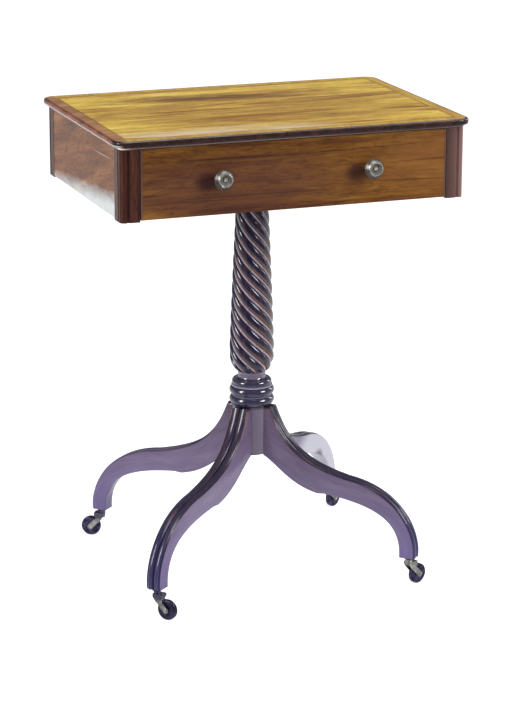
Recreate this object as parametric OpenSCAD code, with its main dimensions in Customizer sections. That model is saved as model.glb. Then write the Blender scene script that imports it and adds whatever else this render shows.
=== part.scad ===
// Side table with one drawer on a spiral-reeded column and four sabre legs with castors.
// Units are millimetres and Z points up.
// The floor is Z 0, and the column axis stands on X 0 and Y 0.
// The drawer opens towards the front, which is -Y; +X is on the right seen from the front.

/* [Table top] */
// Height of the table from the floor to the top surface
table_h = 720; // [600:1:800]
// Width of the top, left to right
top_w = 548; // [440:1:700]
// Depth of the top, front to back
top_d = 382; // [320:1:480]
// Radius of the top's four corners
top_corner_r = 20; // [10:0.5:40]
// Height of the dark edge moulding around the top
edge_h = 9.5; // [7:0.5:16]
// Thickness of that moulding, measured inwards
edge_t = 4.5; // [4:0.5:8]
// Rounding of the moulding's upper and lower arris
edge_r = 3.2; // [1:0.1:4]
// Thickness of the veneers on the top
veneer_t = 1.2; // [0.6:0.1:3]
// Distance from the edge to the stringing line
band_w = 19.4; // [12:0.2:40]
// Width of the stringing line
string_w = 1.4; // [0.8:0.1:4]
// Height of the light bead under the top
bead_h = 3.5; // [2:0.5:8]
// Width of that bead, measured inwards
bead_w = 12.8; // [10.5:0.1:14]
// How far the bead stands out from the frieze
bead_out = 0.8; // [0.2:0.1:2]

/* [Frieze] */
// Overhang of the top past the frieze on every side
overhang = 8.5; // [4:0.5:30]
// Height of the frieze below the bead
frieze_h = 103.5; // [80:0.5:160]
// Side of the square corner posts
post_w = 29; // [24:0.5:45]
// How far the posts reach below the frieze
post_drop = 2; // [0:0.5:6]
// Radius of the quarter-round on the posts' outer corner
post_bead_r = 8.5; // [4:0.5:12]
// Radius of the flute beside that quarter-round
post_flute_r = 2.2; // [1:0.1:4]
// Thickness of the side and back panels
panel_t = 14; // [10:0.5:20]
// How far the panels stand back from the posts' faces
panel_set = 0.5; // [0:0.1:3]
// Thickness of the tongues that join panels and rails to the posts
tongue_t = 6; // [4:0.5:8]
// Length of those tongues
tongue_l = 6; // [4:0.5:10]
// Thickness of the lower front rail and the runners
rail_t = 12; // [8:0.5:20]
// Front-to-back width of the two front rails
rail_w = 44.5; // [30:0.5:70]
// Width of the runners under the drawer
runner_w = 37; // [26:0.5:60]
// Width of the kickers above the drawer
kicker_w = 51; // [30:0.5:80]

/* [Drawer] */
// Gap between the drawer front and the posts
drawer_gap = 1; // [0.5:0.1:2]
// Gap above the drawer front
drawer_top_gap = 0.7; // [0.3:0.1:2]
// Thickness of the drawer front
front_t = 19; // [14:0.5:24]
// Thickness of the drawer sides
side_t = 10; // [7:0.5:14]
// Thickness of the drawer back
back_t = 8; // [6:0.5:12]
// Room between the drawer's end and the back posts
drawer_room = 7; // [3:0.5:40]
// Thickness of the drawer bottom
bottom_t = 5; // [3:0.5:8]
// Depth of the grooves that hold the drawer bottom
groove_d = 4; // [2:0.5:6]
// Length of the dovetails that lap into the drawer front
dovetail_l = 12; // [8:0.5:15]
// Width of the light strips at the drawer front's ends
strip_w = 2.4; // [1:0.1:5]
// Distance from each knob to the middle of the drawer
knob_x = 115.5; // [60:0.5:190]
// Largest radius of a knob
knob_r = 14.8; // [8:0.2:20]
// Height of the knobs above the middle of the drawer front
knob_rise = 2; // [-10:0.5:10]
// How far a knob stands out from the drawer front
knob_l = 24; // [16:0.5:36]

/* [Pedestal] */
// Side of the square block between column and frieze
block_w = 150; // [100:1:200]
// Thickness of that block
block_t = 20; // [14:0.5:30]
// Width of the bearer that carries the block inside the frieze
bearer_w = 120; // [104:1:200]
// Radius of the column's top tenon
tenon_r = 14; // [8:0.5:18]
// Column radius at the top of the spiral
shaft_top_r = 25.1; // [18:0.1:32]
// Column radius at the swelling near its foot
shaft_low_r = 34.6; // [28:0.1:45]
// Height of the swelling above the floor
swell_z = 343; // [333:1:400]
// Height over which the swelling rounds in to the neck
swell_h = 31.5; // [24:0.5:42]
// Column radius at the neck
neck_r = 21.5; // [16:0.5:28]
// Turn of the reeds about the column's axis
reed_turn = -4.5; // [-18:0.5:18]
// Number of spiral reeds
reeds = 8; // [6:1:16]
// Height in which a reed makes one full turn
reed_lead = 176; // [120:1:400]
// Depth of the valleys between the reeds
reed_depth = 2.6; // [1:0.1:4]
// Height of the ring at the top of the spiral
collar_h = 12; // [8:0.5:20]
// Height of the drum's lower end above the floor
drum_z = 184; // [150:1:220]
// Height of the shoulder under the lower ring
shoulder_z = 258.5; // [245:0.5:264]
// Radius of the drum between the legs
drum_r = 30; // [24:0.5:36]
// Radius of the two large rings
ring_r = 34.6; // [31:0.1:42]
// Radius of the spigot between column and drum
spigot_r = 10; // [7:0.5:14]
// Length of that spigot
spigot_l = 30; // [16:0.5:40]

/* [Legs] */
// Distance from the column axis to the castor stem of the front left leg
reach_fl = 280; // [240:1:320]
// The same for the front right leg
reach_fr = 263; // [240:1:320]
// The same for the back left leg
reach_bl = 267; // [240:1:320]
// The same for the back right leg
reach_br = 280; // [240:1:320]
// Direction of the front left leg, seen from above
turn_fl = -140; // [-150:0.5:-120]
// Direction of the front right leg
turn_fr = -44; // [-60:0.5:-30]
// Direction of the back left leg
turn_bl = 133.5; // [120:0.5:150]
// Direction of the back right leg
turn_br = 43.5; // [30:0.5:60]
// Thickness of a leg at the drum
leg_w_top = 29; // [20:0.5:30]
// Thickness of a leg at the foot
leg_w_foot = 23; // [18:0.5:30]
// Front-to-back size of a foot
foot_d = 25; // [18:0.5:30]
// Height of the feet above the floor
foot_z = 46.5; // [40:0.5:60]
// Distance from the column axis to the flat where a leg is seated
seat_rho = 26; // [22:0.5:26]
// Length of the dovetail key on a leg
key_l = 12; // [8:0.5:14]
// Width of the key at its root
key_root = 9; // [6:0.5:10]
// Width of the key at its end
key_end = 13; // [10:0.5:14]
// Width of the groove between the two reeds on a leg
flute_w = 2; // [1:0.1:4]
// Depth of that groove
flute_d = 1.6; // [0.6:0.1:3]

/* [Castors] */
// Radius of a castor wheel
wheel_r = 15.5; // [10:0.5:18]
// Width of a castor wheel
wheel_w = 9; // [6:0.5:14]
// Distance from stem to wheel centre
trail = 18; // [12:0.5:22]
// Radius of the pin on which the horn swivels
pin_r = 3; // [2:0.1:4]
// Radius of the castor axle
axle_r = 1.75; // [1:0.05:3]
// Radius of the flange under the foot
flange_r = 7.2; // [5.5:0.1:8.5]
// Height of that flange
flange_h = 3.5; // [2:0.1:6]
// Direction in which the front left castor trails, seen from above
trail_fl = -50; // [-180:1:360]
// Direction in which the front right castor trails
trail_fr = 22; // [-180:1:360]
// Direction in which the back left castor trails
trail_bl = 150; // [-180:1:360]
// Direction in which the back right castor trails
trail_br = 30; // [-180:1:360]

/* [Hidden] */
// Clearances: running fits, screws in their holes, and flat faces that slide
run = 0.05;
screw_gap = 0.1;
slide = 0.1;
// Heights
board_z = table_h - edge_h;
frieze_top = board_z - bead_h;
frieze_z = frieze_top - frieze_h;
rail_set = 1;
rail_z = frieze_z + rail_set;
rail_top = rail_z + rail_t;
kicker_t = 13.5;
kicker_z = board_z - kicker_t;
mid_z = (frieze_z + frieze_top) / 2;
knob_z = mid_z + knob_rise;
// Half sizes of the frieze and of the opening between the posts
fx = top_w / 2 - overhang;
fy = top_d / 2 - overhang;
open_x = fx - post_w;
panel_x = fx - panel_set - panel_t;
panel_y = fy - panel_set - panel_t;
post_y = fy - post_w;
// Drawer
front_x = open_x - drawer_gap;
front_z = frieze_z + rail_set / 2;
front_top = frieze_top - drawer_top_gap;
back_face = -fy + front_t;
rail_y = back_face + drawer_gap;
side_gap = 2.5;
side_x = open_x - side_gap;
side_z = rail_top + slide;
side_top_gap = 2;
side_top = kicker_z - side_top_gap;
side_end = post_y - drawer_room;
drawer_l = side_end - back_face;
side_play = 1.2;
bottom_up = 4;
bottom_z = side_z + bottom_up;
tail_n = 3;
tail_root = 0.25;
tail_tip = 0.36;
back_drop = 5;
stop_w = 14;
stop_h = 22;
stop_gap = 0.5;
strip_t = 3;
strip_out = 0.2;
knob_screw_r = 2.1;
knob_screw_l = 11;
knob_screw_head = 4.5;
// Joinery of the frieze: tongue heights, and where the rails' tongues lie
panel_tongue_h = frieze_h - 12;
rail_tongue_h = rail_t - 4;
rail_tongue_y = rail_y + 4;
// Blocks glued under the top at the back
glue_x = [-150, -50, 50, 150];
glue_l = 40;
glue_d = 12;
// Column
collar_z = frieze_z - block_t - collar_h;
collar_out = 1.5;
neck_z = swell_z - swell_h;
block_edge_r = 8;
plate_t = 3;
key_top = shoulder_z - 14;
// Screws, each with length, shank radius and head radius, and where they sit
top_screw = [18, 2, 4];
top_screw_y = [-90, 15, 130];
block_screw = [block_t + 10, 2.4, 5];
block_screw_x = 45;
block_screw_y = 55;
hub_screw = [18, 1.8, 3.6];
hub_screw_rho = 20;
// Castors
horn_top = foot_z - flange_h - slide;
horn_bot = horn_top - 9.4;
rivet_h = 2.3;
fork_in = wheel_w / 2 + 0.5;
fork_t = 2;
horn_r = 5.2;
crown_z = horn_bot + 0.6;
crown_h = 4.6;
crown_out = 12;
stem_r = 3.2;
stem_l = 28;
castor_dirs = [trail_fl, trail_fr, trail_bl, trail_br];
// Legs in the order front left, front right, back left, back right
leg_angles = [turn_fl, turn_fr, turn_bl, turn_br];
reaches = [reach_fl, reach_fr, reach_bl, reach_br];

// Node to draw, or all of them
$fn = 96;

// Colours of the pieces
wood_gold = [0.74, 0.58, 0.34];
wood_cross = [0.56, 0.42, 0.26];
wood_dark = [0.22, 0.11, 0.10];
wood_red = [0.42, 0.24, 0.15];
wood_side = [0.52, 0.33, 0.22];
wood_pale = [0.80, 0.68, 0.48];
wood_leg = [0.30, 0.20, 0.24];
brass = [0.66, 0.58, 0.38];
iron = [0.28, 0.27, 0.26];

// Rounded rectangle of the top, moved inwards by a given distance
module top_outline(inset) {
    r = max(top_corner_r - inset, 2);
    x = top_w / 2 - inset - r;
    y = top_d / 2 - inset - r;
    square([2 * x, 2 * (y + r)], center = true);
    square([2 * (x + r), 2 * y], center = true);
    for (sx = [-1, 1]) {
        for (sy = [-1, 1]) {
            translate([sx * x, sy * y]) circle(r);
        }
    }
}

// Moulding that runs around a rectangle with round corners, its section given as a child
module run_around(w, d, r) {
    for (side = [[d, w, 0], [w, d, 90], [d, w, 180], [w, d, 270]]) {
        rotate([0, 0, side[2]])
            translate([side[1] / 2 - r, side[0] / 2 - r, 0])
            rotate([90, 0, 0])
            linear_extrude(side[0] - 2 * r) children();
    }
    for (c = [[1, 1, 0], [-1, 1, 90], [-1, -1, 180], [1, -1, 270]]) {
        translate([c[0] * (w / 2 - r), c[1] * (d / 2 - r), 0])
            rotate([0, 0, c[2]])
            rotate_extrude(angle = 90) children();
    }
}

// Ground board under the veneers, bored for the screws that hold it
module top_board() {
    color(wood_red)
        difference() {
            translate([0, 0, board_z]) linear_extrude(edge_h - veneer_t) top_outline(edge_t);
            top_screw_set(screw_gap);
        }
}

// Dark cross-grained edge with both arrises rounded
module top_edge_moulding() {
    color(wood_dark)
        translate([0, 0, board_z])
        run_around(top_w, top_d, top_corner_r) {
            translate([top_corner_r - edge_t, 0]) square([edge_t - edge_r, edge_h]);
            translate([top_corner_r - edge_r, edge_r]) square([edge_r, edge_h - 2 * edge_r]);
            intersection() {
                translate([top_corner_r - edge_r, 0]) square([edge_r, edge_h]);
                union() {
                    translate([top_corner_r - edge_r, edge_r]) circle(edge_r);
                    translate([top_corner_r - edge_r, edge_h - edge_r]) circle(edge_r);
                }
            }
        }
}

// Flat ring of veneer between two distances from the edge
module veneer_ring(outer, inner) {
    translate([0, 0, table_h - veneer_t])
        linear_extrude(veneer_t)
        difference() {
            top_outline(outer);
            top_outline(inner);
        }
}

// Crossbanded border
module top_crossband() {
    color(wood_cross) veneer_ring(edge_t, band_w);
}

// Dark stringing line
module top_stringing() {
    color(wood_dark) veneer_ring(band_w, band_w + string_w);
}

// Figured veneer in the middle
module top_panel() {
    color(wood_gold)
        translate([0, 0, table_h - veneer_t])
        linear_extrude(veneer_t) top_outline(band_w + string_w);
}

// Light bead between top and frieze, its outer edge half round
module frieze_bead() {
    r = post_bead_r + bead_out;
    w = 2 * (fx + bead_out);
    d = 2 * (fy + bead_out);
    nose = bead_h / 2;
    color(wood_pale)
        translate([0, 0, frieze_top])
        difference() {
            union() {
                run_around(w, d, r) {
                    square([r - nose, bead_h]);
                    intersection() {
                        translate([r - nose, nose]) circle(nose);
                        translate([r - nose, 0]) square([nose, bead_h]);
                    }
                }
                linear_extrude(bead_h) square([w - 2 * r, d - 2 * r], center = true);
            }
            translate([0, 0, -1])
                linear_extrude(bead_h + 2)
                square([w - 2 * bead_w, d - 2 * bead_w], center = true);
        }
}

// Section of a corner post with its outer corner at the origin
module post_section() {
    difference() {
        union() {
            translate([post_bead_r, 0]) square([post_w - post_bead_r, post_w]);
            translate([0, post_bead_r]) square([post_w, post_w - post_bead_r]);
            translate([post_bead_r, post_bead_r]) circle(post_bead_r);
        }
        translate([post_bead_r + post_flute_r + 0.6, 0]) circle(post_flute_r);
        translate([0, post_bead_r + post_flute_r + 0.6]) circle(post_flute_r);
    }
}

// Corner post; sx and sy give the corner, front posts carry rail mortises
module corner_post(sx, sy) {
    color(wood_dark)
        difference() {
            translate([sx * fx, sy * fy, frieze_z - post_drop])
                mirror([sx > 0 ? 1 : 0, 0, 0])
                mirror([0, sy > 0 ? 1 : 0, 0])
                linear_extrude(frieze_h + post_drop) post_section();
            translate([sx * (panel_x + panel_t / 2), sy * (post_y + tongue_l / 2), mid_z])
                cube([tongue_t, tongue_l, panel_tongue_h], center = true);
            if (sy > 0) {
                translate([sx * (open_x + tongue_l / 2), panel_y + panel_t / 2, mid_z])
                    cube([tongue_l, tongue_t, panel_tongue_h], center = true);
            } else {
                for (z = [rail_z, kicker_z]) {
                    translate([sx * (open_x + tongue_l / 2), rail_tongue_y, z + rail_t / 2])
                        cube([tongue_l, tongue_t, rail_tongue_h], center = true);
                }
            }
        }
}
module corner_post_fl() { corner_post(-1, -1); }
module corner_post_fr() { corner_post(1, -1); }
module corner_post_bl() { corner_post(-1, 1); }
module corner_post_br() { corner_post(1, 1); }

// Side panel with a tongue at each end
module side_panel(sx) {
    color(wood_side) {
        translate([sx * (panel_x + panel_t / 2), 0, mid_z])
            cube([panel_t, 2 * post_y, frieze_h], center = true);
        translate([sx * (panel_x + panel_t / 2), 0, mid_z])
            cube([tongue_t, 2 * (post_y + tongue_l), panel_tongue_h], center = true);
    }
}
module side_left() { side_panel(-1); }
module side_right() { side_panel(1); }

// Back panel with a tongue at each end
module back_panel() {
    color(wood_side) {
        translate([0, panel_y + panel_t / 2, mid_z])
            cube([2 * open_x, panel_t, frieze_h], center = true);
        translate([0, panel_y + panel_t / 2, mid_z])
            cube([2 * (open_x + tongue_l), tongue_t, panel_tongue_h], center = true);
    }
}

// Front rail behind the drawer front, tenoned into the front posts
module front_rail(z, h) {
    color(wood_red) {
        translate([-open_x, rail_y, z]) cube([2 * open_x, rail_w, h]);
        translate([0, rail_tongue_y, z + rail_t / 2])
            cube([2 * (open_x + tongue_l), tongue_t, rail_tongue_h], center = true);
    }
}
module front_top_rail() { front_rail(kicker_z, board_z - kicker_z); }
module front_bottom_rail() { front_rail(rail_z, rail_t); }

// Runner with the guide that keeps the drawer straight
module runner(sx) {
    y0 = rail_y + rail_w;
    guide_w = panel_x - side_x - side_play;
    color(wood_red) {
        translate([sx * (panel_x - runner_w / 2), (y0 + post_y) / 2, rail_z + rail_t / 2])
            cube([runner_w, post_y - y0, rail_t], center = true);
        translate([sx * (panel_x - guide_w / 2), (y0 + post_y) / 2, (rail_top + side_top) / 2])
            cube([guide_w, post_y - y0, side_top - rail_top], center = true);
    }
}
module runner_left() { runner(-1); }
module runner_right() { runner(1); }

// Kicker over the drawer side, bored for the screws that hold the top
module kicker(sx) {
    y0 = rail_y + rail_w;
    color(wood_red)
        difference() {
            translate([sx * (panel_x - kicker_w / 2), (y0 + post_y) / 2, (kicker_z + board_z) / 2])
                cube([kicker_w, post_y - y0, board_z - kicker_z], center = true);
            top_screw_set(screw_gap);
        }
}
module kicker_left() { kicker(-1); }
module kicker_right() { kicker(1); }

// Countersunk screw that points up from its head, grown by a gap where it is cut out
module screw(gap, size) {
    translate([0, 0, -gap]) cylinder(h = size[0] + 2 * gap, r = size[1] + gap);
    translate([0, 0, -gap])
        cylinder(h = size[2] - size[1] + gap, r1 = size[2] + gap, r2 = size[1] + gap);
}

// Screws through the kickers into the top
module top_screw_set(gap) {
    for (sx = [-1, 1]) {
        for (y = top_screw_y) {
            translate([sx * (panel_x - kicker_w / 2), y, kicker_z]) screw(gap, top_screw);
        }
    }
}
module top_screws() { color(iron) top_screw_set(0); }

// Two blocks on the runners that stop the drawer
module drawer_stops() {
    l = post_y - side_end - stop_gap;
    color(wood_red)
        for (sx = [-1, 1]) {
            translate([sx * (side_x - stop_w / 2), post_y - l / 2, rail_top + stop_h / 2])
                cube([stop_w, l, stop_h], center = true);
        }
}

// Blocks glued between back panel and top
module glue_blocks() {
    color(wood_red)
        for (x = glue_x) {
            translate([x, panel_y - glue_d / 2, (kicker_z + board_z) / 2])
                cube([glue_l, glue_d, board_z - kicker_z], center = true);
        }
}

// Board from front rail to back panel that carries the pedestal
module bearer() {
    y0 = rail_y + rail_w;
    color(wood_red)
        difference() {
            translate([-bearer_w / 2, y0, frieze_z]) cube([bearer_w, panel_y - y0, rail_top - frieze_z]);
            translate([0, 0, frieze_z - 1]) cylinder(h = rail_t + 4, r = tenon_r + screw_gap);
            block_screw_set(screw_gap);
        }
}

// The four screws up through the column block
module block_screw_set(gap) {
    for (sx = [-1, 1]) {
        for (sy = [-1, 1]) {
            translate([sx * block_screw_x, sy * block_screw_y, frieze_z - block_t])
                screw(gap, block_screw);
        }
    }
}

// Square block on top of the column, its lower edge rounded
module column_block() {
    straight = block_t - block_edge_r;
    color(wood_dark)
        difference() {
            translate([0, 0, frieze_z - block_t]) {
                translate([0, 0, block_edge_r + straight / 2])
                    cube([block_w, block_w, straight], center = true);
                intersection() {
                    rounded_bar();
                    rotate([0, 0, 90]) rounded_bar();
                }
            }
            translate([0, 0, frieze_z - block_t - 1])
                cylinder(h = block_t + 2, r = tenon_r + screw_gap);
            block_screw_set(screw_gap);
        }
}

// Lower layer of the block along Y, with a quarter-round on both long sides
module rounded_bar() {
    flat = block_w / 2 - block_edge_r;
    translate([0, block_w / 2, 0])
        rotate([90, 0, 0])
        linear_extrude(block_w)
        intersection() {
            translate([-block_w / 2, 0]) square([block_w, block_edge_r]);
            union() {
                translate([-flat, 0]) square([2 * flat, block_edge_r]);
                translate([-flat, block_edge_r]) circle(block_edge_r);
                translate([flat, block_edge_r]) circle(block_edge_r);
            }
        }
}
module block_screws() { color(iron) block_screw_set(0); }

// Tails of a dovetail joint as seen from the side of the drawer, root at Y 0
module tails(l, z0, z1) {
    pitch = (z1 - z0) / tail_n;
    for (i = [0 : tail_n - 1]) {
        c = z0 + pitch * (i + 0.5);
        polygon([
            [0.01, c - pitch * tail_root], [-l, c - pitch * tail_tip],
            [-l, c + pitch * tail_tip], [0.01, c + pitch * tail_root]
        ]);
    }
}

// Tails of one drawer side as a solid; the front ones or the back ones
module tail_set(sx, front) {
    h0 = bottom_z + bottom_t + 1;
    translate([sx * (side_x - side_t / 2), front ? back_face : side_end - back_t, 0])
        rotate([90, 0, 90])
        linear_extrude(side_t, center = true) {
            if (front) {
                tails(dovetail_l, h0, side_top);
            } else {
                mirror([1, 0]) tails(back_t, h0, side_top - back_drop);
            }
        }
}

// Drawer front over the full height of the frieze
module drawer_front() {
    color(wood_red)
        difference() {
            translate([-front_x, -fy, front_z]) cube([2 * front_x, front_t, front_top - front_z]);
            for (sx = [-1, 1]) {
                tail_set(sx, true);
                translate([sx * (front_x - strip_w / 2), -fy, mid_z])
                    cube([strip_w, 2 * strip_t, frieze_h], center = true);
                translate([sx * knob_x, -fy - 1, knob_z])
                    rotate([-90, 0, 0]) cylinder(h = front_t + 2, r = knob_screw_r + screw_gap);
            }
            translate([-side_x + side_t - groove_d, back_face - groove_d, bottom_z])
                cube([2 * (side_x - side_t + groove_d), groove_d + 1, bottom_t]);
        }
}

// Light strips let into both ends of the drawer front
module drawer_strips() {
    color(wood_pale)
        for (sx = [-1, 1]) {
            translate([sx * (front_x - strip_w / 2), -fy - strip_out, front_z])
                translate([-strip_w / 2, 0, 0]) cube([strip_w, strip_t + strip_out, front_top - front_z]);
        }
}

// Drawer side with lapped tails at the front and through tails at the back
module drawer_side(sx) {
    board_l = drawer_l - back_t;
    color(wood_pale)
        difference() {
            union() {
                translate([sx * (side_x - side_t / 2), back_face + board_l / 2, (side_z + side_top) / 2])
                    cube([side_t, board_l, side_top - side_z], center = true);
                tail_set(sx, true);
                tail_set(sx, false);
            }
            translate([sx * (side_x - side_t + groove_d / 2), 0, bottom_z + bottom_t / 2])
                cube([groove_d, 4 * fy, bottom_t], center = true);
        }
}
module drawer_side_left() { drawer_side(-1); }
module drawer_side_right() { drawer_side(1); }

// Drawer back above the drawer bottom
module drawer_back() {
    color(wood_pale)
        difference() {
            translate([-side_x, side_end - back_t, bottom_z + bottom_t])
                cube([2 * side_x, back_t, side_top - back_drop - bottom_z - bottom_t]);
            tail_set(-1, false);
            tail_set(1, false);
        }
}

// Drawer bottom held in the grooves
module drawer_bottom() {
    x = side_x - side_t + groove_d - 0.5;
    y0 = back_face - groove_d + 0.5;
    color(wood_pale)
        translate([-x, y0, bottom_z]) cube([2 * x, side_end - y0, bottom_t]);
}

// Turned brass knob with a dished face, built along +Z from the drawer front
module knob() {
    rim = knob_r - 3.8;
    head = knob_l * 0.42;
    difference() {
        rotate_extrude()
            difference() {
                union() {
                    square([9, 1.6]);
                    square([7.6, 2.8]);
                    square([5, head + 2]);
                    polygon([
                        [0, head], [8.5, head], [knob_r - 1, head + 2.6], [knob_r, head + 4.2],
                        [knob_r, head + 6.4], [knob_r - 0.7, head + 7.6],
                        [rim, knob_l - 1.2], [0, knob_l - 1.2]
                    ]);
                    translate([rim - 1.2, knob_l - 1.2]) circle(1.2);
                }
                translate([4.4, knob_l - 2.2]) square([rim - 2.4 - 4.4, 5]);
                translate([0, knob_l - 1.6]) square([4.4, 5]);
            }
        translate([0, 0, -1]) cylinder(h = knob_screw_l + 2, r = knob_screw_r + screw_gap);
    }
    translate([0, 0, knob_l - 2]) cylinder(h = 2.4, r1 = 3.4, r2 = 1.8);
}
module knob_left() { color(brass) translate([-knob_x, -fy, knob_z]) rotate([90, 0, 0]) knob(); }
module knob_right() { color(brass) translate([knob_x, -fy, knob_z]) rotate([90, 0, 0]) knob(); }

// Screws through the drawer front into the knobs
module knob_screws() {
    color(iron)
        for (sx = [-1, 1]) {
            translate([sx * knob_x, back_face, knob_z])
                rotate([90, 0, 0]) {
                    cylinder(h = front_t + knob_screw_l, r = knob_screw_r);
                    translate([0, 0, -knob_screw_r]) cylinder(h = knob_screw_r, r = knob_screw_head);
                }
        }
}

// Radius of the spiral's crests at a given height
function shaft_r(z) = z >= swell_z
    ? shaft_low_r - (shaft_low_r - shaft_top_r) * pow((z - swell_z) / (collar_z - swell_z), 1.15)
    : neck_r - 1 + (shaft_low_r - neck_r + 1) * sqrt(max(0, 1 - pow((swell_z - z) / swell_h, 2)));

// Depth of the valleys, which run out at the neck
function reed_cut(z) = reed_depth * min(1, (z - neck_z) / swell_h * 1.6);

// One point of the spiral, layer by layer
function shaft_point(z, k, around) =
    let (a = 360 * k / around - 360 * (z - neck_z) / reed_lead,
         wave = abs(sin(180 * reeds * k / around)),
         r = shaft_r(z) - reed_cut(z) * (1 - wave))
    [r * cos(a), r * sin(a), z];

// Spiral-reeded column, a spigot below and a ring and tenon above
module column_shaft() {
    around = reeds * 5;
    low = [for (i = [0 : 8]) neck_z + swell_h * (1 - cos(90 * i / 8))];
    high = [for (i = [1 : 32]) swell_z + (collar_z + 1 - swell_z) * i / 32];
    levels = concat(low, high);
    n = len(levels);
    pts = [for (z = levels) for (k = [0 : around - 1]) shaft_point(z, k, around)];
    walls = [for (j = [0 : n - 2]) for (k = [0 : around - 1])
        let (k1 = (k + 1) % around, a = j * around, b = a + around)
        each [[a + k, b + k, b + k1], [a + k, b + k1, a + k1]]];
    ends = [[for (k = [0 : around - 1]) k], [for (k = [around - 1 : -1 : 0]) (n - 1) * around + k]];
    color(wood_leg) rotate([0, 0, reed_turn]) {
        polyhedron(points = pts, faces = concat(walls, ends));
        translate([0, 0, neck_z - spigot_l]) cylinder(h = spigot_l + 2, r = spigot_r);
        translate([0, 0, collar_z]) cylinder(h = collar_h, r = shaft_top_r + collar_out);
        translate([0, 0, collar_z + 2])
            cylinder(h = frieze_z + rail_t - collar_z - 2, r = tenon_r);
    }
}

// Turned rings and drum below the spiral, cut for the four legs
module column_hub() {
    big = (neck_z - 22 - shoulder_z) / 4;
    core_r = seat_rho - 0.6;
    low_c = shoulder_z + big + 0.5;
    high_c = low_c + 2 * big - 0.8;
    line_h = 1.2;
    line_z = high_c + big - 0.4;
    cushion_r = 5.4;
    cushion_rho = neck_r + 3.8;
    cushion_z = line_z + line_h / 2 + cushion_r;
    cove_r = 5.4;
    cove_cut = 0.8;
    color(wood_leg)
        difference() {
            rotate_extrude()
                difference() {
                    union() {
                        translate([0, drum_z]) square([drum_r, shoulder_z - drum_z]);
                        translate([0, shoulder_z - 1]) square([core_r, cushion_z - shoulder_z + 1]);
                        translate([ring_r - big, low_c]) circle(big);
                        translate([ring_r - big, high_c]) circle(big);
                        translate([0, line_z]) square([ring_r - 3, line_h]);
                        translate([cushion_rho, cushion_z]) circle(cushion_r);
                        translate([0, cushion_z - 1]) square([neck_r, neck_z - cushion_z + 1]);
                    }
                    translate([neck_r + cove_r - cove_cut, cushion_z + 9.6]) circle(cove_r);
                    translate([0, neck_z]) square([60, 20]);
                }
            translate([0, 0, neck_z - spigot_l - 1])
                cylinder(h = spigot_l + 2, r = spigot_r + screw_gap);
            for (a = leg_angles) {
                rotate([0, 0, a]) {
                    translate([seat_rho, -drum_r, drum_z - 1])
                        cube([drum_r, 2 * drum_r, shoulder_z - drum_z + 1]);
                    translate([0, 0, drum_z - 1]) linear_extrude(key_top - drum_z + 1) key_plan();
                }
            }
            hub_screw_set(screw_gap);
        }
}

// Dovetail key seen from above
module key_plan() {
    polygon([
        [seat_rho + 0.01, -key_root / 2], [seat_rho - key_l, -key_end / 2],
        [seat_rho - key_l, key_end / 2], [seat_rho + 0.01, key_root / 2]
    ]);
}

// Iron disc under the drum that holds the legs' keys in
module hub_plate() {
    color(iron)
        difference() {
            translate([0, 0, drum_z - plate_t]) cylinder(h = plate_t, r = seat_rho - 2);
            hub_screw_set(screw_gap);
        }
}

// The four screws through that disc, between the keys
module hub_screw_set(gap) {
    for (a = [0, 90, 180, 270]) {
        rotate([0, 0, a]) translate([hub_screw_rho, 0, drum_z - plate_t]) screw(gap, hub_screw);
    }
}
module hub_screws() { color(iron) hub_screw_set(0); }

// Point of a cubic curve
function curve(p, t) = pow(1 - t, 3) * p[0] + 3 * t * pow(1 - t, 2) * p[1]
    + 3 * t * t * (1 - t) * p[2] + pow(t, 3) * p[3];
function curve_points(p, n) = [for (i = [0 : n]) curve(p, i / n)];

// Side view of a leg that reaches rho from the column axis.
// Its points are given as shares of that reach and of the way up from the foot to the shoulder.
function leg_point(rho, out, up) = [rho * out, foot_z + (shoulder_z - foot_z) * up];

// Upper outline, from the drum outwards to the foot
function sweep_end(rho) = leg_point(rho, 0.616, 0.538);
function upper_in(rho) = [
    leg_point(rho, 0.135, 1), leg_point(rho, 0.224, 0.709), leg_point(rho, 0.345, 0.613), sweep_end(rho)
];
function upper_out(rho) = [
    sweep_end(rho), leg_point(rho, 0.969, 0.486), leg_point(rho, 1.066, 0.153), [rho + foot_d / 2, foot_z]
];
function upper_line(rho, n) = concat(curve_points(upper_in(rho), n),
    [for (i = [1 : n]) curve(upper_out(rho), i / n)]);

// Lower outline, with the small step that marks the end of the sweep
function lower_in(rho) = [
    [seat_rho, drum_z - plate_t], leg_point(rho, 0.193, 0.57), leg_point(rho, 0.269, 0.434),
    leg_point(rho, 0.441, 0.397)
];
function lower_out(rho) = [
    leg_point(rho, 0.479, 0.402), leg_point(rho, 0.812, 0.364), leg_point(rho, 0.962, 0.264),
    [rho - foot_d / 2, foot_z]
];
function lower_line(rho, n) = concat(curve_points(lower_in(rho), n), curve_points(lower_out(rho), n));
function backwards(v) = [for (i = [len(v) - 1 : -1 : 0]) v[i]];

module leg_side(rho) {
    polygon(concat([[seat_rho, shoulder_z]], upper_line(rho, 16), backwards(lower_line(rho, 14))));
}

// Band just inside the upper outline, for the groove between the reeds
module flute_side(rho) {
    line = upper_line(rho, 16);
    n = len(line);
    inner = [for (i = [0 : n - 1])
        let (a = line[max(i - 1, 0)], b = line[min(i + 1, n - 1)], d = (b - a) / norm(b - a))
        line[i] + flute_d * [d[1], -d[0]]];
    outer = [for (i = [0 : n - 1])
        let (a = line[max(i - 1, 0)], b = line[min(i + 1, n - 1)], d = (b - a) / norm(b - a))
        line[i] - flute_d * [d[1], -d[0]]];
    polygon(concat(outer, backwards(inner)));
}

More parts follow.
